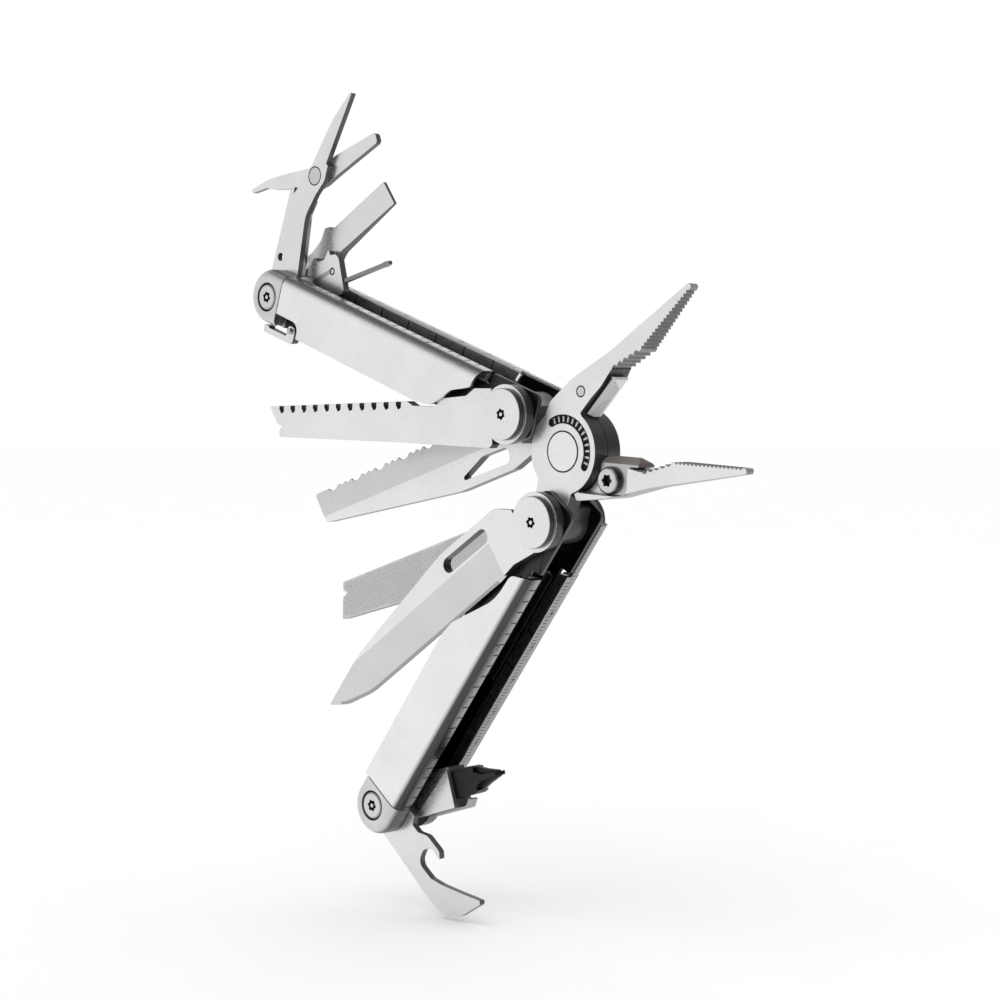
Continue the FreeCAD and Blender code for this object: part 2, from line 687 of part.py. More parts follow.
def bit_driver():
    """Holder for the flattened screwdriver bit, open at its end."""
    corners = [(0, -4.6), (7.8, -5.2, 1.0), (20.5, -5.2, 0.4), (20.5, 4.4, 0.4), (9.0, 4.6, 1.0),
               (0, 4.6)]
    body = end_tool("bit_driver", "a", size("bit_driver_turn"), "%g" % DRIVER_FLOOR,
                    "%g" % DRIVER_SHEET, corners)
    top = DRIVER_FLOOR + DRIVER_SHEET
    cheek = rounded([(5.2, -10), (5.4, -5.6), (21.0, 4.0), (21.0, 10), (5.0, 10)])
    pocket(body, new_sketch(body, [cheek], level="%g" % top), "0.6")
    half = size("large_bit_width") / 2 + 0.05
    socket = box_outline(-half, BIT_FLOOR - 0.05, half, BIT_FLOOR + size("large_bit_sheet") + 0.05)
    sketch = new_sketch(body, [socket], level="7", plane="YZ_Plane")
    pocket(body, sketch, "20", up=True)
    return body


def bit_clip():
    """Leaf that holds the large bit in its holder."""
    body = new_body("bit_clip", at_screw("a", size("bit_driver_turn")))
    leaf = rounded([(10.0, -5.2), (10.0, -5.9, 0.3), (23.0, -5.9, 0.8), (24.6, -4.0, 0.2),
                    (23.9, -3.8), (22.6, -5.2, 0.4)])
    pad(body, new_sketch(body, [leaf], level="-1.9"), "2.4")
    return body


def large_bit():
    """Flattened double-ended cross-head bit."""
    body = new_body("large_bit", at_screw("a", size("bit_driver_turn")))
    half = size("large_bit_width") / 2
    corners = [(7.4, -half, 0.8), (27.0, -half, 1.0), (31.0, -1.7, 1.0), (34.6, -0.7, 0.4),
               (34.6, 0.7, 0.4), (31.0, 1.7, 1.0), (27.0, half, 1.0), (7.4, half, 0.8)]
    pad(body, new_sketch(body, [rounded(corners)], level="%g" % BIT_FLOOR),
        "Sizes.large_bit_sheet")
    for up, level in ((False, BIT_FLOOR + size("large_bit_sheet")), (True, BIT_FLOOR)):
        flutes = []
        for sign in (1, -1):
            flute = [(26.0, sign * 2.3, 0.6), (30.0, sign * 0.75, 1.5), (36.0, sign * 0.35),
                     (36.0, sign * 3.2), (30.5, sign * 3.0, 1.0)]
            flutes.append(rounded(flute))
        pocket(body, new_sketch(body, flutes, level="%g" % level), "1.1", up=up)
    return body


# ---------------------------------------------------------------- end tools of handle B

SCISSORS_PIN = (31.6, 1.15)
FRAME_FLOOR = -4.05
MOVING_FLOOR = -2.5


def scissors_frame():
    """Fixed scissors blade and the shank that carries it."""
    corners = [
        (0, -4.6), (5.2, -6.4, 1.0), (25.6, -6.45, 0.3), (29.0, -2.9), (33.6, -0.8, 2.0),
        (40.7, 1.1, 10.0), (46.3, 2.8), (54.0, 6.6, 0.4), (53.6, 7.1, 0.2), (35.6, 4.1, 0.2),
        (35.4, 4.9, 0.3), (31.5, 5.0, 2.0), (27.5, 3.1, 4.0), (21.5, 1.2, 8.0), (8.7, 3.3, 3.0),
        (0, 4.6),
    ]
    body = end_tool("scissors_frame", "b", size("scissors_turn"), "%g" % FRAME_FLOOR,
                    "Sizes.scissors_sheet", corners)
    catch = rounded([(25.2, -5.0), (27.6, -3.6), (27.2, -5.2)])
    through(body, [catch], circles=[(9.2, -4.3, "1.0"), SCISSORS_PIN + ("2.25",)])
    return body


def scissors_blade():
    """Moving scissors blade with its thumb lever."""
    body = new_body("scissors_blade", at_screw("b", size("scissors_turn")))
    x, y = SCISSORS_PIN
    outline = [
        (-1.4, 2.9), (-2.9, 0.9), (-4.6, -6.0, 3.0), (-6.4, -10.4, 3.0), (-8.0, -15.0, 2.0),
        (-8.6, -18.5, 2.0), (-11.6, -23.6, 0.5), (-10.9, -24.2, 0.4), (-6.8, -19.2, 4.0),
        (-3.6, -13.4, 6.0), (0.6, -4.6, 3.0), (4.0, -1.8, 2.0), (4.6, 1.6, 0.4),
        (15.6, 15.6, 0.9), (13.6, 17.3, 0.9), (2.0, 6.0, 2.0),
    ]
    pad(body, new_sketch(body, [rounded([(x + c[0], y + c[1]) + tuple(c[2:]) for c in outline])],
                         level="%g" % MOVING_FLOOR), "Sizes.scissors_sheet")
    through(body, [], circles=[(x, y, "2.25")])
    return body


def scissors_rivet():
    body = new_body("scissors_rivet", at_screw("b", size("scissors_turn")))
    pad(body, new_sketch(body, [], level="%g" % FRAME_FLOOR, circles=[SCISSORS_PIN + ("2.2",)]),
        "2 * Sizes.scissors_sheet + 0.1")
    return body


def scissors_spring():
    """Leaf behind the shank that pushes the moving blade open."""
    body = new_body("scissors_spring", at_screw("b", size("scissors_turn")))
    leaf = rounded([(6.5, 3.3, 0.4), (6.5, 1.6, 0.4), (22.0, -0.6, 3.0), (25.6, 0.6, 0.3),
                    (25.2, 1.3, 0.3), (21.8, 0.4, 3.0)])
    pad(body, new_sketch(body, [leaf], level="%g" % MOVING_FLOOR), "Sizes.scissors_sheet - 0.1")
    return body


def flat_driver():
    """Broad screwdriver with a nail catch on its root."""
    corners = [
        (0, -4.6), (8.5, -6.6, 1.0), (11.0, -6.4, 2.0), (15.0, -6.8, 2.0), (17.8, -8.4, 0.4),
        (19.4, -7.6, 0.4), (19.8, -6.5, 0.8), (40.4, -5.2, 0.2), (40.6, 1.4, 0.2),
        (17.3, -0.3, 6.0), (13.0, 4.2, 3.0), (0, 4.6),
    ]
    body = end_tool("flat_driver", "b", size("flat_driver_turn"), "1.2",
                    "Sizes.flat_driver_sheet", corners)
    sides = [
        rounded([(18.0, 1.2), (40.7, 2.0), (42.0, 2.0), (42.0, 0.5), (18.0, 0.5)]),
        rounded([(18.0, 3.8), (40.7, 2.9), (42.0, 2.9), (42.0, 4.5), (18.0, 4.5)]),
    ]
    pocket(body, new_sketch(body, sides, plane="XZ_Plane"), "60", midplane=True)
    return body


SMALL_FLOOR = -0.85


def small_driver():
    """Holder plate for the small bit."""
    corners = [
        (0, -4.6), (7.5, -5.8, 1.0), (10.6, -7.6, 0.4), (11.4, -6.2, 0.9), (13.8, -6.0, 0.9),
        (14.9, -7.0, 0.6), (16.1, -8.2, 0.3), (16.3, -6.6, 0.3), (18.3, -6.2, 0.3),
        (19.2, -5.0, 0.8), (19.4, 3.6, 1.2), (12.0, 4.4, 2.0), (0, 4.6),
    ]
    body = end_tool("small_driver", "b", size("small_driver_turn"), "%g" % SMALL_FLOOR,
                    "Sizes.small_driver_sheet", corners)
    groove = slot_outline((8.8, -1.9), (15.6, -2.7), 0.4)
    pocket(body, new_sketch(body, [groove], level="%g" % SMALL_FLOOR), "0.7", up=True)
    middle = SMALL_FLOOR + size("small_driver_sheet") / 2
    socket = box_outline(0.2, middle - 0.55, 1.3, middle + 0.55)
    pocket(body, new_sketch(body, [socket], level="6", plane="YZ_Plane"), "20", up=True)
    return body


def small_driver_wire():
    """Spring wire that holds the small bit."""
    body = new_body("small_driver_wire", at_screw("b", size("small_driver_turn")))
    wire = slot_outline((8.8, -1.9), (15.6, -2.7), 0.34)
    pad(body, new_sketch(body, [wire], level="%g" % SMALL_FLOOR), "0.6")
    return body


def small_bit():
    """Thin double-ended bit for small screws."""
    body = new_body("small_bit", at_screw("b", size("small_driver_turn")))
    middle = SMALL_FLOOR + size("small_driver_sheet") / 2
    corners = [(6.4, 0.25), (33.8, 0.25), (34.4, 0.1), (36.2, 0.3, 0.1), (36.2, 1.2, 0.1),
               (34.4, 1.4), (33.8, 1.25), (6.4, 1.25)]
    pad(body, new_sketch(body, [rounded(corners)], level="%g" % (middle - 0.5)),
        "Sizes.small_bit_sheet")
    return body


LANYARD_PIN = (75.9, -5.5)


def lanyard_ring():
    """Small hook for a cord that swings out of the blade slot."""
    body = new_body("lanyard_ring", at_pivot("b"))
    corners = [(74.5, -4.4, 1.0), (77.3, -4.4, 1.0), (77.3, -7.2, 0.5), (84.4, -7.3, 0.3),
               (84.4, -6.9, 0.1), (86.2, -6.9, 0.4), (86.2, -8.8, 0.6), (74.5, -8.6, 1.2)]
    pad(body, new_sketch(body, [rounded(corners)], level="-7.6"), "2.0")
    through(body, [], circles=[LANYARD_PIN + ("0.75",)])
    return body


def lanyard_pin():
    body = new_body("lanyard_pin", at_pivot("b"))
    pad(body, new_sketch(body, [], level="-8.4", circles=[LANYARD_PIN + ("0.7",)]), "3.2")
    return body


# ---------------------------------------------------------------- assembly

for side in "ab":
    jaw(side)
    cutter_insert(side)
    insert_screw(side)
    handle_frame(side)
    pivot_bolt(side)
    pivot_disc(side)
    pivot_washers(side)
    tool_screw(side)
    tool_nut(side)
    tool_spring(side)
    for where in ("front", "rear"):
        handle_cover(side, where)
        liner_lock(side, where)
plier_rivet()
knife()
file_blade()
saw()
serrated_blade()
can_opener()
bit_driver()
bit_clip()
large_bit()
scissors_frame()
scissors_blade()
scissors_rivet()
scissors_spring()
flat_driver()
small_driver()
small_driver_wire()
small_bit()
lanyard_ring()
lanyard_pin()

doc.recompute()
for item in doc.Objects:
    if "Invalid" in item.State or "Error" in item.State:
        raise RuntimeError("failed: " + item.Label)
os.makedirs("parts", exist_ok=True)
for piece in PIECES:
    if piece.Shape.isNull() or not piece.Shape.isValid():
        raise RuntimeError("bad shape: " + piece.Label)
    piece.Shape.exportStep("parts/%s.step" % piece.Label)
print(len(PIECES), "pieces written")
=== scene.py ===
import json
import math

import bmesh
import bpy
from mathutils import Matrix, Vector
from mathutils.bvhtree import BVHTree


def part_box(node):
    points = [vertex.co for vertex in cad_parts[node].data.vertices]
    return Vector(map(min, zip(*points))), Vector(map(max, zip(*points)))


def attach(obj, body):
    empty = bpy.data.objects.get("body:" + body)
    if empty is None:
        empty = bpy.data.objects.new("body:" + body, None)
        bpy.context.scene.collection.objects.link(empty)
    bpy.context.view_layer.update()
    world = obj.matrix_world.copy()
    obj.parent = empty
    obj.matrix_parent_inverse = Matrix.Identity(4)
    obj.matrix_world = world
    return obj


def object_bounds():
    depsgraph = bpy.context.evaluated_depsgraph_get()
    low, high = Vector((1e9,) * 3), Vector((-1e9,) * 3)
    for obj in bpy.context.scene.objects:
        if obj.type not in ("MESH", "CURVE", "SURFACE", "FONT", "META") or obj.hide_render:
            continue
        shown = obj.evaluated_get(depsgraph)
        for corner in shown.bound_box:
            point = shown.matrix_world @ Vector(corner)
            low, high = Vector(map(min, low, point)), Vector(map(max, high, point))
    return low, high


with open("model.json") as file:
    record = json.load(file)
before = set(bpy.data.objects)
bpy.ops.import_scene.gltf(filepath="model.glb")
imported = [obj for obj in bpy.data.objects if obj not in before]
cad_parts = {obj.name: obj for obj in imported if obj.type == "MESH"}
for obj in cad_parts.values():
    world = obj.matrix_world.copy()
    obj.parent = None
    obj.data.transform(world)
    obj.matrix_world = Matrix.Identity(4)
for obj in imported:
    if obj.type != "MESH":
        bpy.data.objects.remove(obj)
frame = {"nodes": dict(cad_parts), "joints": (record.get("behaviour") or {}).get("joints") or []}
cad_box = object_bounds()

MM = 0.001
NODES = frame["nodes"]
JOINTS = {joint["name"]: joint for joint in frame["joints"]}

# Directions of the pieces in the XZ plane, in degrees from +X towards +Z.
ANGLE = {
    "handle_a": 233.0, "handle_b": 160.5, "jaw_a": 45.5, "jaw_b": -3.0,
    "knife": 214.0, "file": 196.5, "saw": 181.3, "serrated_blade": 197.5,
    "can_opener": 323.0, "bit_driver": 18.0, "scissors": 68.5, "scissors_blade": 37.0,
    "flat_driver": 33.5, "small_driver": 12.5,
}

# Lengths here are in mm, apart from those that are multiplied by MM.
# Handles: x runs from the pivot to the end screw, y across, z out of the face.
HANDLE_PITCH = 86.0
FRAME_SHADE_TO = 81.4        # painted shade: the frame is dark up to here, where it lies in the handle, and plain steel at its end
CHANNEL_SHADE_HALF = 4.25   # painted shade: the frame is black inside this half thickness, in the channel
DISC_SHADE_HALF = 8.75            # painted shade: the pivot discs are black inside this half thickness
SCREW_HEAD = 9.0            # height of the end screw heads over the middle plane
RAIL_TOP = 6.8              # height of the rail over the handle's middle line
RAIL_START = {"front": 12.0, "rear": -3.2}
RAIL_END = 80.5
COVER_START = 12.0          # nearer the pivot the rear rail is a narrower strip
STRIP_INNER = 5.45
CHANNEL_HALF = 4.2

# Jaws: half thickness and distance from the rivet of the parts painted black as shade.
HUB_CHANNEL_HALF, HUB_CHANNEL_REACH = 3.85, 9.6
POCKET_HALF, POCKET_REACH = 4.0, 22.3

# Screws: radii of the six-lobe recess, whose floor is painted black as shade, and of the painted
# shade ring on the dome.
SCREW_STAR = 1.6
INSERT_SCREW_RING = 2.35
END_SCREW_RING = 2.55

FADE = 0.1                  # half width of the blend between two tones
LINE_PROUD = 0.02           # engraved lines stand this far out of the steel
LINE_SUNK = 0.02            # and reach this far into it

# Rulers: tick step, half width, reach of short, middle and long ticks over the cover, and
# how many steps lie between two middle and between two long ticks.
INCH = 25.4
RULERS = {
    "front": {"step": INCH / 8, "half": 0.16, "reach": (6.1, 6.6, 7.0), "every": (4, 8)},
    "rear": {"step": 1.0, "half": 0.09, "reach": (5.9, 6.1, 6.2), "every": (5, 10)},
}
TICK_GAP = 0.35             # from the channel to the foot of a tick
DIGIT_HEIGHT = 1.7
DIGIT_SHIFT = 1.1           # a number stands this far beyond its tick
DIGIT_MIDDLE = 5.8          # and this far from the middle plane
LIP_LINE_FROM, LIP_LINE_TO = 4.1, RAIL_TOP - 0.35
LIP_LINE_STEP = 10.0
LIP_LINE_HALF = 0.14
LIP_LINE_FIRST = 2.0        # from the end of the rail

# Seams: dark rings round pins.
RING_STEPS = 72
RIVET_SEAM_WIDTH, RIVET_SEAM_LIFT = 0.34, 0.005
PIN_SEAM_WIDTH, PIN_SEAM_LIFT = 0.3, 0.01
SEAM_RADIUS = {"insert_screw_a": 1.15, "scissors_rivet": 2.2}
WIRE_EYE = Vector((-79.75, 0, 42.64)) * MM
WIRE_EYE_RADIUS, WIRE_EYE_WIDTH = 0.75, 0.4

# Sharpened band along the knife's edge.
EDGE_OUTLINE_START = 12     # the outline is followed from here on
EDGE_START = 17             # and the band drawn from here on
EDGE_WIDTH = 0.75
EDGE_INSET = 0.04
EDGE_STEP = 1.0
EDGE_PROBE = 3              # rays start this far from the middle plane of the blade
RIM_NORMAL = 0.3            # rim faces have less than this part of their normal along Y
RIM_BAND = 0.5              # and only their corners this near the middle plane count
EDGE_THICKNESS = 0.02

# File teeth, where the file is flat.
FILE_START = 15.0
FILE_END = 83.0
FILE_BOTTOM, FILE_TOP = -12.0, 9.0
FILE_PITCH_ALONG, FILE_PITCH_ACROSS = 0.95, 0.42
FILE_TOOTH = 0.04
FILE_SUNK = 0.02            # the feet of the teeth lie this deep in the face
FILE_PROBE = 2              # rays start this far over the face
FLAT_LIMIT = 0.02           # a hit this near the face is still on its flat part


def direction(angle):
    turn = math.radians(angle)
    return Vector((math.cos(turn), 0, math.sin(turn)))


def local_frame(origin, angle, face):
    """x along the piece, y across it, z out of its face: face 1 looks to the front."""
    along = direction(angle)
    across = direction(angle + 90 * face)
    out = Vector((0, -face, 0))
    frame_matrix = Matrix((along, across, out)).transposed().to_4x4()
    frame_matrix.translation = origin
    return frame_matrix


FACE = {"a": 1, "b": -1}
HANDLE = {
    side: local_frame(Vector(JOINTS["handle_%s_pivot" % side]["pos_m"]),
                      ANGLE["handle_" + side], FACE[side])
    for side in "ab"
}


# ---------------------------------------------------------------- material nodes

def new_material(name):
    material = bpy.data.materials.new(name)
    material.use_nodes = True
    tree = material.node_tree
    tree.nodes.clear()
    shader = tree.nodes.new("ShaderNodeBsdfPrincipled")
    output = tree.nodes.new("ShaderNodeOutputMaterial")
    link(tree, shader.outputs["BSDF"], output.inputs["Surface"])
    return material, tree, shader


def link(tree, start, end):
    tree.links.new(start, end)


def feed(tree, given, end):
    """Links given to an input, or sets it there when it is a plain value."""
    if isinstance(given, bpy.types.NodeSocket):
        link(tree, given, end)
    else:
        end.default_value = given


def as_colour(tone):
    return tone if isinstance(tone, tuple) else (tone,) * 3


def scaled(colour, factor):
    return tuple(c * factor for c in colour)


def object_place(tree):
    return tree.nodes.new("ShaderNodeTexCoord").outputs["Object"]


def grain_coordinates(tree, angle, stretch):
    """Object coordinates turned so that x runs along the piece, then stretched."""
    turn = tree.nodes.new("ShaderNodeMapping")
    turn.inputs["Rotation"].default_value = (0, math.radians(angle), 0)
    squeeze = tree.nodes.new("ShaderNodeMapping")
    squeeze.inputs["Scale"].default_value = stretch
    link(tree, object_place(tree), turn.inputs["Vector"])
    link(tree, turn.outputs["Vector"], squeeze.inputs["Vector"])
    return squeeze.outputs["Vector"]


def noise(tree, vector, scale, detail=3.0, rough=0.55):
    node = tree.nodes.new("ShaderNodeTexNoise")
    node.inputs["Scale"].default_value = scale
    node.inputs["Detail"].default_value = detail
    node.inputs["Roughness"].default_value = rough
    link(tree, vector, node.inputs["Vector"])
    return node.outputs["Fac"]


def ramp(tree, value, stops):
    node = tree.nodes.new("ShaderNodeValToRGB")
    points = node.color_ramp.elements
    while len(points) < len(stops):
        points.new(0.5)
    for point, (place, tone) in zip(points, stops):
        point.position = place
        point.color = as_colour(tone) + (1,)
    link(tree, value, node.inputs["Fac"])
    return node.outputs["Color"]


def mix(tree, factor, first, second, blend="MIX"):
    """First where the factor is 0, second where it is 1; each may be a plain value."""
    node = tree.nodes.new("ShaderNodeMix")
    node.data_type = "RGBA"
    node.blend_type = blend
    for name, given in (("Factor", factor), ("A", first), ("B", second)):
        feed(tree, given, node.inputs[name])
    return node.outputs["Result"]


def multiplied(tree, colour, tone):
    return mix(tree, 1.0, colour, tone, "MULTIPLY")


def math_node(tree, operation, first, second=None):
    node = tree.nodes.new("ShaderNodeMath")
    node.operation = operation
    link(tree, first, node.inputs[0])
    if second is not None:
        feed(tree, second, node.inputs[1])
    return node.outputs[0]


def vector_node(tree, operation, first, second=None):
    node = tree.nodes.new("ShaderNodeVectorMath")
    node.operation = operation
    link(tree, first, node.inputs[0])
    if second is not None:
        node.inputs[1].default_value = second
    return node.outputs["Value" if operation in ("LENGTH", "DOT_PRODUCT") else "Vector"]


def map_range(tree, value, low, high):
    node = tree.nodes.new("ShaderNodeMapRange")
    node.inputs["From Min"].default_value = low
    node.inputs["From Max"].default_value = high
    link(tree, value, node.inputs["Value"])
    return node.outputs["Result"]


def part_along(tree, vector, axis):
    split = tree.nodes.new("ShaderNodeSeparateXYZ")
    link(tree, vector, split.inputs["Vector"])
    return split.outputs[axis]


def height_over(tree, middle=0.0):
    """Distance to either side of the plane y = middle."""
    level = part_along(tree, object_place(tree), "Y")
    return math_node(tree, "ABSOLUTE", math_node(tree, "SUBTRACT", level, middle))


def distance_from(tree, centre):
    """Distance from the line through centre that runs along Y."""
    offset = vector_node(tree, "SUBTRACT", object_place(tree), (centre.x, 0, centre.z))
    return vector_node(tree, "LENGTH", vector_node(tree, "MULTIPLY", offset, (1, 0, 1)))


def turned_from_flat(tree, low, high):
    """0 where the surface normal's part along Y is below low, and 1 above high."""
    facing = tree.nodes.new("ShaderNodeNewGeometry").outputs["True Normal"]
    return map_range(tree, math_node(tree, "ABSOLUTE", part_along(tree, facing, "Y")), low, high)


def flat_mask(tree):
    return turned_from_flat(tree, 0.45, 0.8)


def dark_rim(tree, colour, rim, fine, flatness):
    """Mixes in the rim colour where the surface turns away from the flat faces: painted shade on
    the edges, and a painted highlight on cutter insert a.
    """
    tint = as_colour(rim)
    painted_rim_tone = ramp(tree, fine, [(0.3, scaled(tint, 0.75)), (0.7, scaled(tint, 1.25))])
    return mix(tree, flatness, painted_rim_tone, colour)


def ground_tone(tree, colour, bright):
    """Slanted ground faces come out greyer than the flats of the same blade."""
    flats = turned_from_flat(tree, 0.9965, 0.9990)
    return multiplied(tree, colour, ramp(tree, flats, [(0.0, bright), (1.0, 1.0)]))


def steel(name, tint, roughness, angle=0.0, grain=0.25, mottle=0.04, rim=None, ground=None):
    """Brushed or satin steel: fine lines along the piece, soft stains and worn spots.
    rim is the painted shade on the edges, which are the faces that don't look along Y; on cutter
    insert a it is a painted highlight.
    ground is how bright the slanted ground faces of a blade are beside its flats."""
    material, tree, shader = new_material(name)
    fine = noise(tree, grain_coordinates(tree, angle, (60, 1400, 1400)), 6.0, 4.0, 0.6)
    cloud = noise(tree, grain_coordinates(tree, angle, (1, 1, 1)), 90.0, 3.0)
    tint = as_colour(tint)
    low = scaled(tint, 1 - mottle)
    high = tuple(min(1.0, c) for c in scaled(tint, 1 + mottle))
    base = ramp(tree, cloud, [(0.3, low), (0.7, high)])
    streak = ramp(tree, fine, [(0.25, 1 - 1.6 * mottle), (0.75, 1.0)])
    colour = multiplied(tree, base, streak)
    if rim is None:
        shader.inputs["Metallic"].default_value = 1.0
    else:
        flatness = flat_mask(tree)
        colour = dark_rim(tree, colour, rim, fine, flatness)
        link(tree, flatness, shader.inputs["Metallic"])
    if ground is not None:
        colour = ground_tone(tree, colour, ground)
    link(tree, colour, shader.inputs["Base Color"])
    spread = 0.06
    rough = ramp(tree, fine, [(0.3, roughness - spread), (0.7, roughness + spread)])
    link(tree, rough, shader.inputs["Roughness"])
    bump = tree.nodes.new("ShaderNodeBump")
    bump.inputs["Strength"].default_value = grain
    bump.inputs["Distance"].default_value = 0.02 * MM
    link(tree, fine, bump.inputs["Height"])
    link(tree, bump.outputs["Normal"], shader.inputs["Normal"])
    return material


def paint_of(material):
    """Tree and shader of a steel, and what feeds its base colour so far."""
    tree = material.node_tree
    shader = next(n for n in tree.nodes if n.type == "BSDF_PRINCIPLED")
    return tree, shader, shader.inputs["Base Color"].links[0].from_socket


def darken(tree, shader, colour, mask, dark):
    """Gives the shader the dark tone where the mask is 0, and the colour where it is 1."""
    mixed = mix(tree, mask, (dark, dark, dark, 1), colour)
    link(tree, mixed, shader.inputs["Base Color"])


def darken_part(material, origin, angle, reach, dark):
    """Darkens the stretch of a piece up to reach (mm) along its direction: painted shade."""
    tree, shader, base = paint_of(material)
    offset = vector_node(tree, "SUBTRACT", object_place(tree), origin)
    along = vector_node(tree, "DOT_PRODUCT", offset, direction(angle))
    mask = map_range(tree, along, reach * MM - FADE * MM, reach * MM + FADE * MM)
    darken(tree, shader, base, mask, dark)


def darken_inside(material, half, dark, reach=None, sides=False):
    """Paints shade: blackens the faces that lie inside |y| < half (mm), a channel or a recess
    floor in shadow.
    With reach, only those that lie within that distance of the Y axis.
    With sides, only those that are turned away from the flat faces."""
    tree, shader, base = paint_of(material)
    mask = map_range(tree, height_over(tree), half * MM, half * MM + 1.5 * FADE * MM)
    if reach is not None:
        away = map_range(tree, distance_from(tree, Vector((0, 0, 0))),
                         reach * MM, reach * MM + FADE * MM)
        mask = math_node(tree, "MAXIMUM", mask, away)
    if sides:
        mask = math_node(tree, "MAXIMUM", mask, flat_mask(tree))
    darken(tree, shader, base, mask, dark)


def screw_shade(material, centre, head, ring):
    """Screw head: painted shade, a black floor in the six-lobe recess and a dark outer ring on
    the dome.
    head is the height of the dome in metres, ring the radius in mm where it darkens."""
    tree, shader, base = paint_of(material)
    radius = distance_from(tree, centre)
    raised = map_range(tree, height_over(tree), head - 0.30 * MM, head - 0.15 * MM)
    outside = map_range(tree, radius, SCREW_STAR * MM, (SCREW_STAR + FADE) * MM)
    away = map_range(tree, radius, ring * MM, (ring + 0.7) * MM)
    shaded = multiplied(tree, base, ramp(tree, away, [(0.0, 1.0), (1.0, 0.12)]))
    darken(tree, shader, shaded, math_node(tree, "MAXIMUM", raised, outside), 0.015)


def tooth_shade(material, middle, half, height):
    """File teeth: painted shade, black in the cuts, and bright on the tips."""
    tree, shader, base = paint_of(material)
    rise = map_range(tree, height_over(tree, middle), half, half + height * 0.8)
    darken(tree, shader, base, rise, 0.02)
    link(tree, rise, shader.inputs["Metallic"])


def bend_shade(material, rail, middle, dark):
    """Cover sheet: painted shade, a dark band where it bends from the flat face to the rail."""
    tree, shader, base = paint_of(material)
    across = map_range(tree, height_over(tree), 5.0 * MM, 9.0 * MM)
    tone = ramp(tree, across, [(0.0, rail), (0.35, middle), (0.6, dark), (0.88, dark * 1.15),
                               (0.99, 1.0)])
    link(tree, multiplied(tree, base, tone), shader.inputs["Base Color"])


# ---------------------------------------------------------------- CAD surfaces

def soften(node, width):
    """Rounds the sharp edges of a CAD node by width (mm), with modifiers only."""
    piece = NODES[node]
    weld = piece.modifiers.new("weld", "WELD")
    weld.merge_threshold = 0.002 * MM
    flat = piece.modifiers.new("flat", "DECIMATE")
    flat.decimate_type = "DISSOLVE"
    flat.angle_limit = math.radians(0.6)
    bevel = piece.modifiers.new("edges", "BEVEL")
    bevel.width = width * MM
    bevel.segments = 2
    bevel.limit_method = "ANGLE"
    bevel.angle_limit = math.radians(32.0)
    bevel.use_clamp_overlap = False
    bevel.harden_normals = False
    normals = piece.modifiers.new("normals", "WEIGHTED_NORMAL")
    normals.keep_sharp = False
    for polygon in piece.data.polygons:
        polygon.use_smooth = True


def dress(node, material, width):
    """Gives a CAD node its material; width is how much its edges are rounded, in mm."""
    piece = NODES[node]
    piece.data.materials.clear()
    piece.data.materials.append(material)
    if width:
        soften(node, width)


POLISHED = (0.80, 0.80, 0.795)
BRUSHED = (0.82, 0.82, 0.815)

# Painted light and shade of the cutter inserts, set for each jaw: tone of the flat faces and of
# the ground and edge ones, with a's flats painted dark and its edges painted as a highlight.
CUTTER_LIGHT_AND_SHADE = {
    "a": ((0.05, 0.048, 0.045), (0.70, 0.70, 0.69)),
    "b": ((0.50, 0.49, 0.48), (0.10, 0.078, 0.072)),
}


def dress_jaws():
    for side in "ab":
        angle = ANGLE["jaw_" + side]
        jaw = steel("jaw_steel_" + side, POLISHED, 0.30, angle, grain=0.3, rim=0.20)
        # Painted shade: black in the hub channel, and on jaw a in the pocket beside the cutter.
        darken_inside(jaw, HUB_CHANNEL_HALF, 0.03, reach=HUB_CHANNEL_REACH)
        if side == "a":
            darken_inside(jaw, POCKET_HALF, 0.03, reach=POCKET_REACH, sides=True)
        dress("jaw_" + side, jaw, 0.09)
        flat, rim = CUTTER_LIGHT_AND_SHADE[side]
        cutter = steel("cutter_steel_" + side, flat, 0.30, angle, grain=0.5, rim=rim)
        dress("cutter_insert_" + side, cutter, 0.08)
        screw = steel("screw_steel_" + side, 0.62, 0.22, angle, rim=0.06)
        low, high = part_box("insert_screw_" + side)
        head = low.y if side == "b" else high.y
        screw_shade(screw, (low + high) / 2, abs(head), INSERT_SCREW_RING)
        dress("insert_screw_" + side, screw, 0.06)
    dress("plier_rivet", steel("rivet_steel", BRUSHED, 0.28, 90.0, rim=0.06), 0.05)


# Painted light and shade of the covers, different for each handle and side: how bright the rail,
# its outer half and the bend are beside the flat of the cover.
BEND_SHADE_TONES = {
    ("a", "front"): (0.45, 0.22, 0.09), ("a", "rear"): (0.45, 0.42, 0.35),
    ("b", "front"): (1.0, 1.0, 0.75), ("b", "rear"): (1.0, 1.0, 0.9),
}


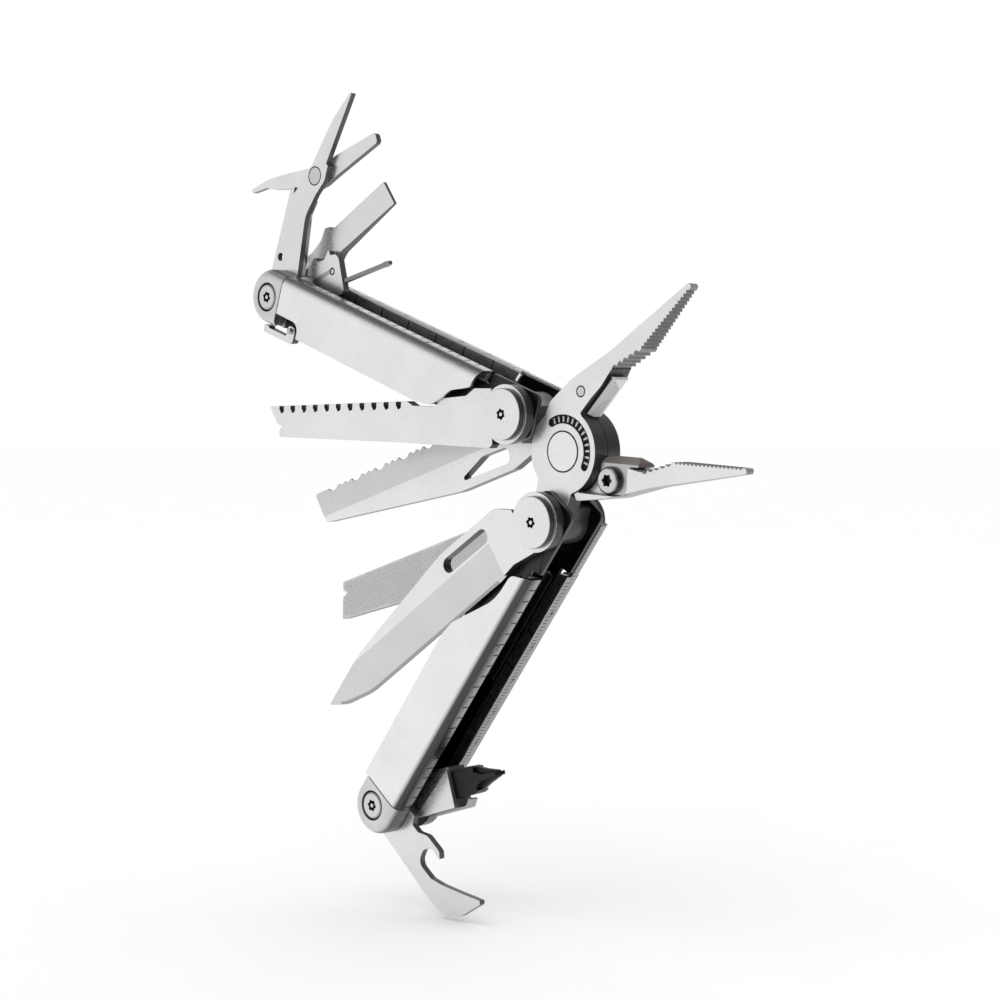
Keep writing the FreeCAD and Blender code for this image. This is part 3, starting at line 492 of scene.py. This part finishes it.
def dress_handles():
    for side in "ab":
        angle = ANGLE["handle_" + side]
        head = "handle_%s_" % side
        pivot = HANDLE[side].translation
        frame_steel = steel("frame_steel_" + side, (0.66, 0.66, 0.655), 0.32, angle, grain=0.5,
                            mottle=0.08, rim=0.10)
        darken_part(frame_steel, pivot, angle, FRAME_SHADE_TO, 0.045)
        darken_inside(frame_steel, CHANNEL_SHADE_HALF, 0.02)
        dress(head + "frame", frame_steel, 0.1)
        for where in ("front", "rear"):
            cover = steel("cover_steel_%s_%s" % (side, where), BRUSHED, 0.30, angle, grain=0.2)
            bend_shade(cover, *BEND_SHADE_TONES[side, where])
            dress(head + "cover_" + where, cover, 0.12)
            # Painted shade: the locks lie in the channel and get a near-black tone.
            lock = steel("lock_steel_%s_%s" % (side, where), (0.10, 0.10, 0.098), 0.36, angle)
            dress(head + "lock_" + where, lock, 0.06)
        turned = steel("disc_steel_" + side, POLISHED, 0.30, 90.0, rim=0.03)
        darken_inside(turned, DISC_SHADE_HALF, 0.02)
        dress(head + "pivot_bolt", turned, 0)
        dress(head + "pivot_disc", turned, 0)
        washer = steel("washer_steel_" + side, (0.05, 0.049, 0.046), 0.42, angle)
        dress(head + "washers", washer, 0)
        screw = steel("end_screw_steel_" + side, 0.66, 0.24, angle, rim=0.06)
        end = pivot + direction(angle) * (HANDLE_PITCH * MM)
        screw_shade(screw, end, SCREW_HEAD * MM, END_SCREW_RING)
        dress(head + "tool_screw", screw, 0.08)
        dress(head + "tool_nut", screw, 0.08)
        spring = steel("spring_steel_" + side, 0.07, 0.38, angle)
        dress(head + "tool_spring", spring, 0.06)


def dress_blades():
    for node, ground in (("knife", 0.80), ("saw", 0.9), ("serrated_blade", 0.80)):
        blade = steel(node + "_steel", POLISHED, 0.27, ANGLE[node], rim=0.03, ground=ground)
        dress(node, blade, 0.05)
    file_steel = steel("file_steel", (0.60, 0.60, 0.595), 0.34, ANGLE["file"], grain=0.6,
                       rim=0.12)
    dress("file", file_steel, 0.05)


def dress_tools():
    tools = {
        "can_opener": "can_opener", "bit_driver": "bit_driver", "scissors_frame": "scissors",
        "scissors_blade": "scissors_blade", "flat_driver": "flat_driver",
        "small_driver": "small_driver", "lanyard_ring": "handle_b",
    }
    for node, aim in tools.items():
        metal = steel(node + "_steel", (0.76, 0.76, 0.755), 0.28, ANGLE[aim], rim=0.06)
        dress(node, metal, 0.05)
    dress("scissors_rivet", steel("small_rivet_steel", 0.60, 0.25, 40.0), 0.05)
    spring = steel("scissors_spring_steel", 0.42, 0.3, ANGLE["scissors"])
    dress("scissors_spring", spring, 0.04)
    dress("bit_clip", steel("clip_steel", 0.40, 0.32, ANGLE["bit_driver"]), 0.05)
    dress("small_driver_wire", steel("wire_steel", 0.45, 0.28, ANGLE["small_driver"]), 0)
    dress("lanyard_pin", steel("pin_steel", 0.50, 0.28), 0.04)
    black = steel("black_oxide", (0.045, 0.045, 0.048), 0.42, ANGLE["bit_driver"], grain=0.5,
                  mottle=0.25)
    dress("large_bit", black, 0.08)
    dress("small_bit", steel("bit_steel", 0.26, 0.32, ANGLE["small_driver"], grain=0.5), 0.04)


# ---------------------------------------------------------------- added detail

def add_object(name, data):
    thing = bpy.data.objects.new(name, data)
    bpy.context.scene.collection.objects.link(thing)
    return thing


def add_piece(name, shape, body, material):
    """Turns a bmesh into a named piece that rides on a body."""
    bmesh.ops.recalc_face_normals(shape, faces=shape.faces)
    mesh = bpy.data.meshes.new(name)
    shape.to_mesh(mesh)
    shape.free()
    mesh.materials.append(material)
    piece = add_object(name, mesh)
    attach(piece, body)
    return piece


BLOCK_FACES = ((0, 1, 3, 2), (4, 6, 7, 5), (0, 4, 5, 1), (2, 3, 7, 6), (0, 2, 6, 4),
               (1, 5, 7, 3))


def add_block(shape, where, low, high):
    """One engraved line as a thin closed block between two local corners, in mm."""
    corners = []
    for x in (low[0], high[0]):
        for y in (low[1], high[1]):
            for z in (low[2], high[2]):
                corners.append(shape.verts.new(where @ (Vector((x, y, z)) * MM)))
    for quad in BLOCK_FACES:
        shape.faces.new([corners[i] for i in quad])


def add_digits(shape, where, text, at, out):
    """Ruler number standing on the rail, at a local place in mm."""
    curve = bpy.data.curves.new("digits", "FONT")
    curve.body = text
    curve.size = DIGIT_HEIGHT * MM
    curve.extrude = LINE_PROUD * MM
    curve.align_x = "CENTER"
    curve.align_y = "CENTER"
    holder = bpy.data.objects.new("digits", curve)
    mesh = bpy.data.meshes.new_from_object(holder)
    turned = Matrix(((0, -out, 0), (0, 0, 1), (-out, 0, 0))).to_4x4()
    mesh.transform(where @ Matrix.Translation(Vector(at) * MM) @ turned)
    shape.from_mesh(mesh)
    bpy.data.objects.remove(holder)
    bpy.data.meshes.remove(mesh)


def add_ruler(side, where, ink):
    """Ticks and numbers on a rail, and a line every 10 mm down the inner lip."""
    out = FACE[side] if where == "front" else -FACE[side]
    local = HANDLE[side]
    shape = bmesh.new()
    ruler = RULERS[where]
    short, middle, long = ruler["reach"]
    middle_every, long_every = ruler["every"]
    first = RAIL_START[where]
    for i in range(int((RAIL_END - first) / ruler["step"]) + 1):
        x = RAIL_END - i * ruler["step"]
        reach = short
        if i % long_every == 0:
            reach = long
        elif i % middle_every == 0:
            reach = middle
        inner = CHANNEL_HALF + TICK_GAP if x > COVER_START else STRIP_INNER
        near, far = sorted((out * inner, out * reach))
        add_block(shape, local, (x - ruler["half"], RAIL_TOP - LINE_SUNK, near),
                  (x + ruler["half"], RAIL_TOP + LINE_PROUD, far))
        if i and i % long_every == 0 and x > COVER_START:
            at = (x + DIGIT_SHIFT, RAIL_TOP, out * DIGIT_MIDDLE)
            add_digits(shape, local, str(i // long_every), at, out)
    x = RAIL_END - LIP_LINE_FIRST
    near, far = sorted((out * (CHANNEL_HALF - LINE_PROUD), out * (CHANNEL_HALF + LINE_SUNK)))
    while x > first:
        add_block(shape, local, (x - LIP_LINE_HALF, LIP_LINE_FROM, near),
                  (x + LIP_LINE_HALF, LIP_LINE_TO, far))
        x -= LIP_LINE_STEP
    add_piece("handle_%s_ruler_%s" % (side, where), shape, "handle_" + side, ink)


def add_ring(name, body, centre, radius, width, level, ink):
    """Thin dark seam round a pin, lying on a front face at y = level (mm)."""
    shape = bmesh.new()
    rings = []
    for r, depth in ((radius - width / 2, 0.0), (radius - width / 4, -LINE_PROUD),
                     (radius + width / 4, -LINE_PROUD), (radius + width / 2, 0.0)):
        loop = []
        for i in range(RING_STEPS):
            turn = 2 * math.pi * i / RING_STEPS
            offset = Vector((r * math.cos(turn), 0, r * math.sin(turn))) * MM
            loop.append(shape.verts.new(centre + offset + Vector((0, (level + depth) * MM, 0))))
        rings.append(loop)
    for inner, outer in zip(rings, rings[1:] + rings[:1]):
        for i in range(RING_STEPS):
            j = (i + 1) % RING_STEPS
            shape.faces.new((inner[i], inner[j], outer[j], outer[i]))
    add_piece(name, shape, body, ink)


def surface_tree(piece):
    points = [v.co for v in piece.data.vertices]
    return BVHTree.FromPolygons(points, [tuple(p.vertices) for p in piece.data.polygons])


def resampled(line, step):
    """Points at even steps along a polyline."""
    result = [line[0]]
    left = step
    for start, end in zip(line, line[1:]):
        length = (end - start).length
        while length >= left:
            start = start + (end - start).normalized() * left
            result.append(start)
            length -= left
            left = step
        left -= length
    result.append(line[-1])
    return result


def cutting_edge(blade, back, middle):
    """Outer line of a blade's rim in its local frame, from the start of the band."""
    points = [v.co for v in blade.data.vertices]
    edge = {}
    for polygon in blade.data.polygons:
        if abs(polygon.normal.y) > RIM_NORMAL:
            continue
        for index in polygon.vertices:
            spot = back @ points[index]
            near_middle = abs(points[index].y - middle) < RIM_BAND * MM
            if spot.x > EDGE_OUTLINE_START * MM and spot.y > 0 and near_middle:
                key = round(spot.x / MM, 2)
                edge[key] = max(spot.y, edge.get(key, -1.0))
    line = [Vector((x * MM, y)) for x, y in sorted(edge.items())]
    return [spot for spot in resampled(line, EDGE_STEP * MM) if spot.x > EDGE_START * MM]


def add_edge_bevel(node, metal):
    """Sharpened band along the cutting edge of a blade, laid on both ground faces."""
    blade = NODES[node]
    tree = surface_tree(blade)
    low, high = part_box(node)
    middle = (low.y + high.y) / 2
    local = local_frame(HANDLE["a"].translation, ANGLE[node], 1)
    line = cutting_edge(blade, local.inverted(), middle)
    shape = bmesh.new()
    for outward in (-1, 1):
        previous = None
        for i, spot in enumerate(line):
            ahead = line[min(i + 1, len(line) - 1)] - line[max(i - 1, 0)]
            inward = Vector((ahead.y, -ahead.x)).normalized()
            pair = []
            for step in (EDGE_INSET * MM, EDGE_WIDTH * MM):
                flat = spot + inward * step
                at = local @ Vector((flat.x, flat.y, 0))
                at.y = middle + outward * EDGE_PROBE * MM
                hit = tree.ray_cast(at, Vector((0, -outward, 0)))[0]
                if hit is None:
                    break
                lift = Vector((0, outward * LINE_PROUD * MM * 0.6, 0))
                pair.append(shape.verts.new(hit + lift))
            if len(pair) < 2:
                previous = None
                continue
            if previous:
                shape.faces.new((previous[0], previous[1], pair[1], pair[0]))
            previous = pair
    for lone in [v for v in shape.verts if not v.link_faces]:
        shape.verts.remove(lone)
    piece = add_piece(node + "_edge_bevel", shape, node, metal)
    thick = piece.modifiers.new("thick", "SOLIDIFY")
    thick.thickness = EDGE_THICKNESS * MM
    thick.offset = 0.0


def add_file_teeth(metal):
    """Double-cut teeth: rows of low pyramids on both faces, where the face is flat."""
    tree = surface_tree(NODES["file"])
    low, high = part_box("file")
    local = local_frame(HANDLE["a"].translation, ANGLE["file"], 1)
    shape = bmesh.new()

    def spot_at(u, v, level):
        spot = local @ (Vector((u, v, 0)) * MM)
        spot.y = level
        return spot

    def on_face(u, v, level, outward):
        start = spot_at(u, v, level + outward * FILE_PROBE * MM)
        hit = tree.ray_cast(start, Vector((0, -outward, 0)))[0]
        return hit is not None and abs(hit.y - level) < FLAT_LIMIT * MM

    for level, outward in ((low.y, -1), (high.y, 1)):
        foot = level - outward * FILE_SUNK * MM
        top = level + outward * FILE_TOOTH * MM
        row = 0
        v = FILE_BOTTOM
        while v < FILE_TOP:
            u = FILE_START + (FILE_PITCH_ALONG / 2 if row % 2 else 0.0)
            while u < FILE_END:
                around = [(u - FILE_PITCH_ALONG / 2, v), (u, v - FILE_PITCH_ACROSS),
                          (u + FILE_PITCH_ALONG / 2, v), (u, v + FILE_PITCH_ACROSS)]
                if all(on_face(a, b, level, outward) for a, b in around):
                    ring = [shape.verts.new(spot_at(a, b, foot)) for a, b in around]
                    tip = shape.verts.new(spot_at(u + FILE_PITCH_ALONG * 0.2, v, top))
                    for i in range(4):
                        shape.faces.new((ring[i], ring[(i + 1) % 4], tip))
                    shape.faces.new(ring)
                u += FILE_PITCH_ALONG
            v += FILE_PITCH_ACROSS
            row += 1
    add_piece("file_teeth", shape, "file", metal)


def add_seams():
    """Dark rings round four pins and eyes, just over the front faces."""
    seam = steel("seam_shadow", (0.035, 0.034, 0.033), 0.5, 0.0, grain=0.2, mottle=0.2)
    low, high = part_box("plier_rivet")
    radius = (high.x - low.x) / 2 / MM
    add_ring("rivet_seam", "jaw_a", Vector((0, 0, 0)), radius, RIVET_SEAM_WIDTH,
             low.y / MM - RIVET_SEAM_LIFT, seam)
    for node, body, face in (("insert_screw_a", "jaw_a", "jaw_a"),
                             ("scissors_rivet", "scissors", "scissors_frame")):
        low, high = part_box(node)
        centre = (low + high) / 2
        centre.y = 0
        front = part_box(face)[0].y / MM
        add_ring(node + "_seam", body, centre, SEAM_RADIUS[node], PIN_SEAM_WIDTH,
                 front - PIN_SEAM_LIFT, seam)
    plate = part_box("small_driver")[0].y
    add_ring("small_driver_eye", "small_driver", WIRE_EYE, WIRE_EYE_RADIUS, WIRE_EYE_WIDTH,
             plate / MM - PIN_SEAM_LIFT, seam)


def add_details():
    ink = steel("engraved_lines", 0.03, 0.5, 20.0, grain=0.3, mottle=0.2)
    for side in "ab":
        for where in ("front", "rear"):
            add_ruler(side, where, ink)
    add_seams()
    edge = steel("knife_edge_steel", (0.36, 0.36, 0.355), 0.22, ANGLE["knife"], grain=0.15)
    add_edge_bevel("knife", edge)
    metal = steel("file_cut_steel", (0.84, 0.84, 0.835), 0.30, ANGLE["file"], grain=0.3)
    low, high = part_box("file")
    tooth_shade(metal, (low.y + high.y) / 2, (high.y - low.y) / 2, FILE_TOOTH * MM)
    add_file_teeth(metal)


# ---------------------------------------------------------------- stage

LOOK_AT = Vector((-23.05, 0, -11.30)) * MM
VIEW_AZIMUTH = 44.77
VIEW_ELEVATION = 2.55
VIEW_DISTANCE = 456.0 * MM
LENS = 72.9
FLOOR_RADIUS = 6.0          # metres
FLOOR_CORNERS = 96
FLOOR_GAP = 1.0 * MM        # under the lowest point of the part

# What reflections see from bottom to top, and from side to side.
CEILING = [(0.40, 0.85), (0.55, 1.0), (0.78, 0.80), (0.90, 0.10)]
SIDE_WALL = [(0.0, 1.0), (0.55, 0.9), (0.78, 0.06), (1.0, 0.10)]


def stand_facing(thing, azimuth, elevation, distance):
    """Stands a camera or a light in that direction from LOOK_AT, turned towards it."""
    around = math.radians(azimuth)
    up = math.radians(elevation)
    outward = Vector((math.sin(around) * math.cos(up), -math.cos(around) * math.cos(up),
                      math.sin(up)))
    thing.location = LOOK_AT + outward * distance
    thing.rotation_euler = outward.to_track_quat("Z", "Y").to_euler()


def add_camera():
    data = bpy.data.cameras.new("camera")
    data.lens = LENS
    data.sensor_width = 36.0
    data.clip_start = 0.01
    data.clip_end = 50.0
    camera = add_object("camera", data)
    stand_facing(camera, VIEW_AZIMUTH, VIEW_ELEVATION, VIEW_DISTANCE)
    bpy.context.scene.camera = camera


def add_floor():
    mesh = bpy.data.meshes.new("floor")
    level = cad_box[0][2] - FLOOR_GAP
    turns = [2 * math.pi * i / FLOOR_CORNERS for i in range(FLOOR_CORNERS)]
    corners = [(FLOOR_RADIUS * math.cos(turn), FLOOR_RADIUS * math.sin(turn), level)
               for turn in turns]
    mesh.from_pydata(corners, [], [tuple(range(FLOOR_CORNERS))])
    floor = add_object("floor", mesh)
    material, tree, shader = new_material("floor_paper")
    speck = noise(tree, object_place(tree), 40.0)
    link(tree, ramp(tree, speck, [(0.3, 0.985), (0.7, 0.998)]), shader.inputs["Base Color"])
    shader.inputs["Roughness"].default_value = 1.0
    shader.inputs["Specular IOR Level"].default_value = 0.0
    mesh.materials.append(material)


def area_light(name, azimuth, elevation, distance, size, power):
    data = bpy.data.lights.new(name, "AREA")
    data.shape = "DISK"
    data.size = size
    data.energy = power
    stand_facing(add_object(name, data), azimuth, elevation, distance)


def add_world():
    """White room for the background and soft light; reflections also see a dark ceiling
    and a dark side wall, which give the steel its shading."""
    world = bpy.data.worlds.new("studio")
    bpy.context.scene.world = world
    world.use_nodes = True
    tree = world.node_tree
    tree.nodes.clear()
    output = tree.nodes.new("ShaderNodeOutputWorld")
    room = tree.nodes.new("ShaderNodeBackground")
    mirrored = tree.nodes.new("ShaderNodeBackground")
    choose = tree.nodes.new("ShaderNodeMixShader")
    path = tree.nodes.new("ShaderNodeLightPath")
    where = tree.nodes.new("ShaderNodeTexCoord").outputs["Generated"]
    height = map_range(tree, part_along(tree, where, "Z"), -1.0, 1.0)
    across = map_range(tree, part_along(tree, where, "X"), -1.0, 1.0)
    seen = math_node(tree, "MULTIPLY", ramp(tree, height, CEILING),
                     ramp(tree, across, SIDE_WALL))
    link(tree, seen, mirrored.inputs["Color"])
    mirrored.inputs["Strength"].default_value = 0.98
    room.inputs["Color"].default_value = (1, 1, 1, 1)
    room.inputs["Strength"].default_value = 1.0
    link(tree, path.outputs["Is Glossy Ray"], choose.inputs["Fac"])
    link(tree, room.outputs["Background"], choose.inputs[1])
    link(tree, mirrored.outputs["Background"], choose.inputs[2])
    link(tree, choose.outputs["Shader"], output.inputs["Surface"])
    bpy.context.scene.view_settings.view_transform = "Standard"


dress_jaws()
dress_handles()
dress_blades()
dress_tools()
add_details()
add_camera()
add_floor()
add_world()
area_light("key", azimuth=-10.0, elevation=60.0, distance=1.0, size=0.6, power=0.6)
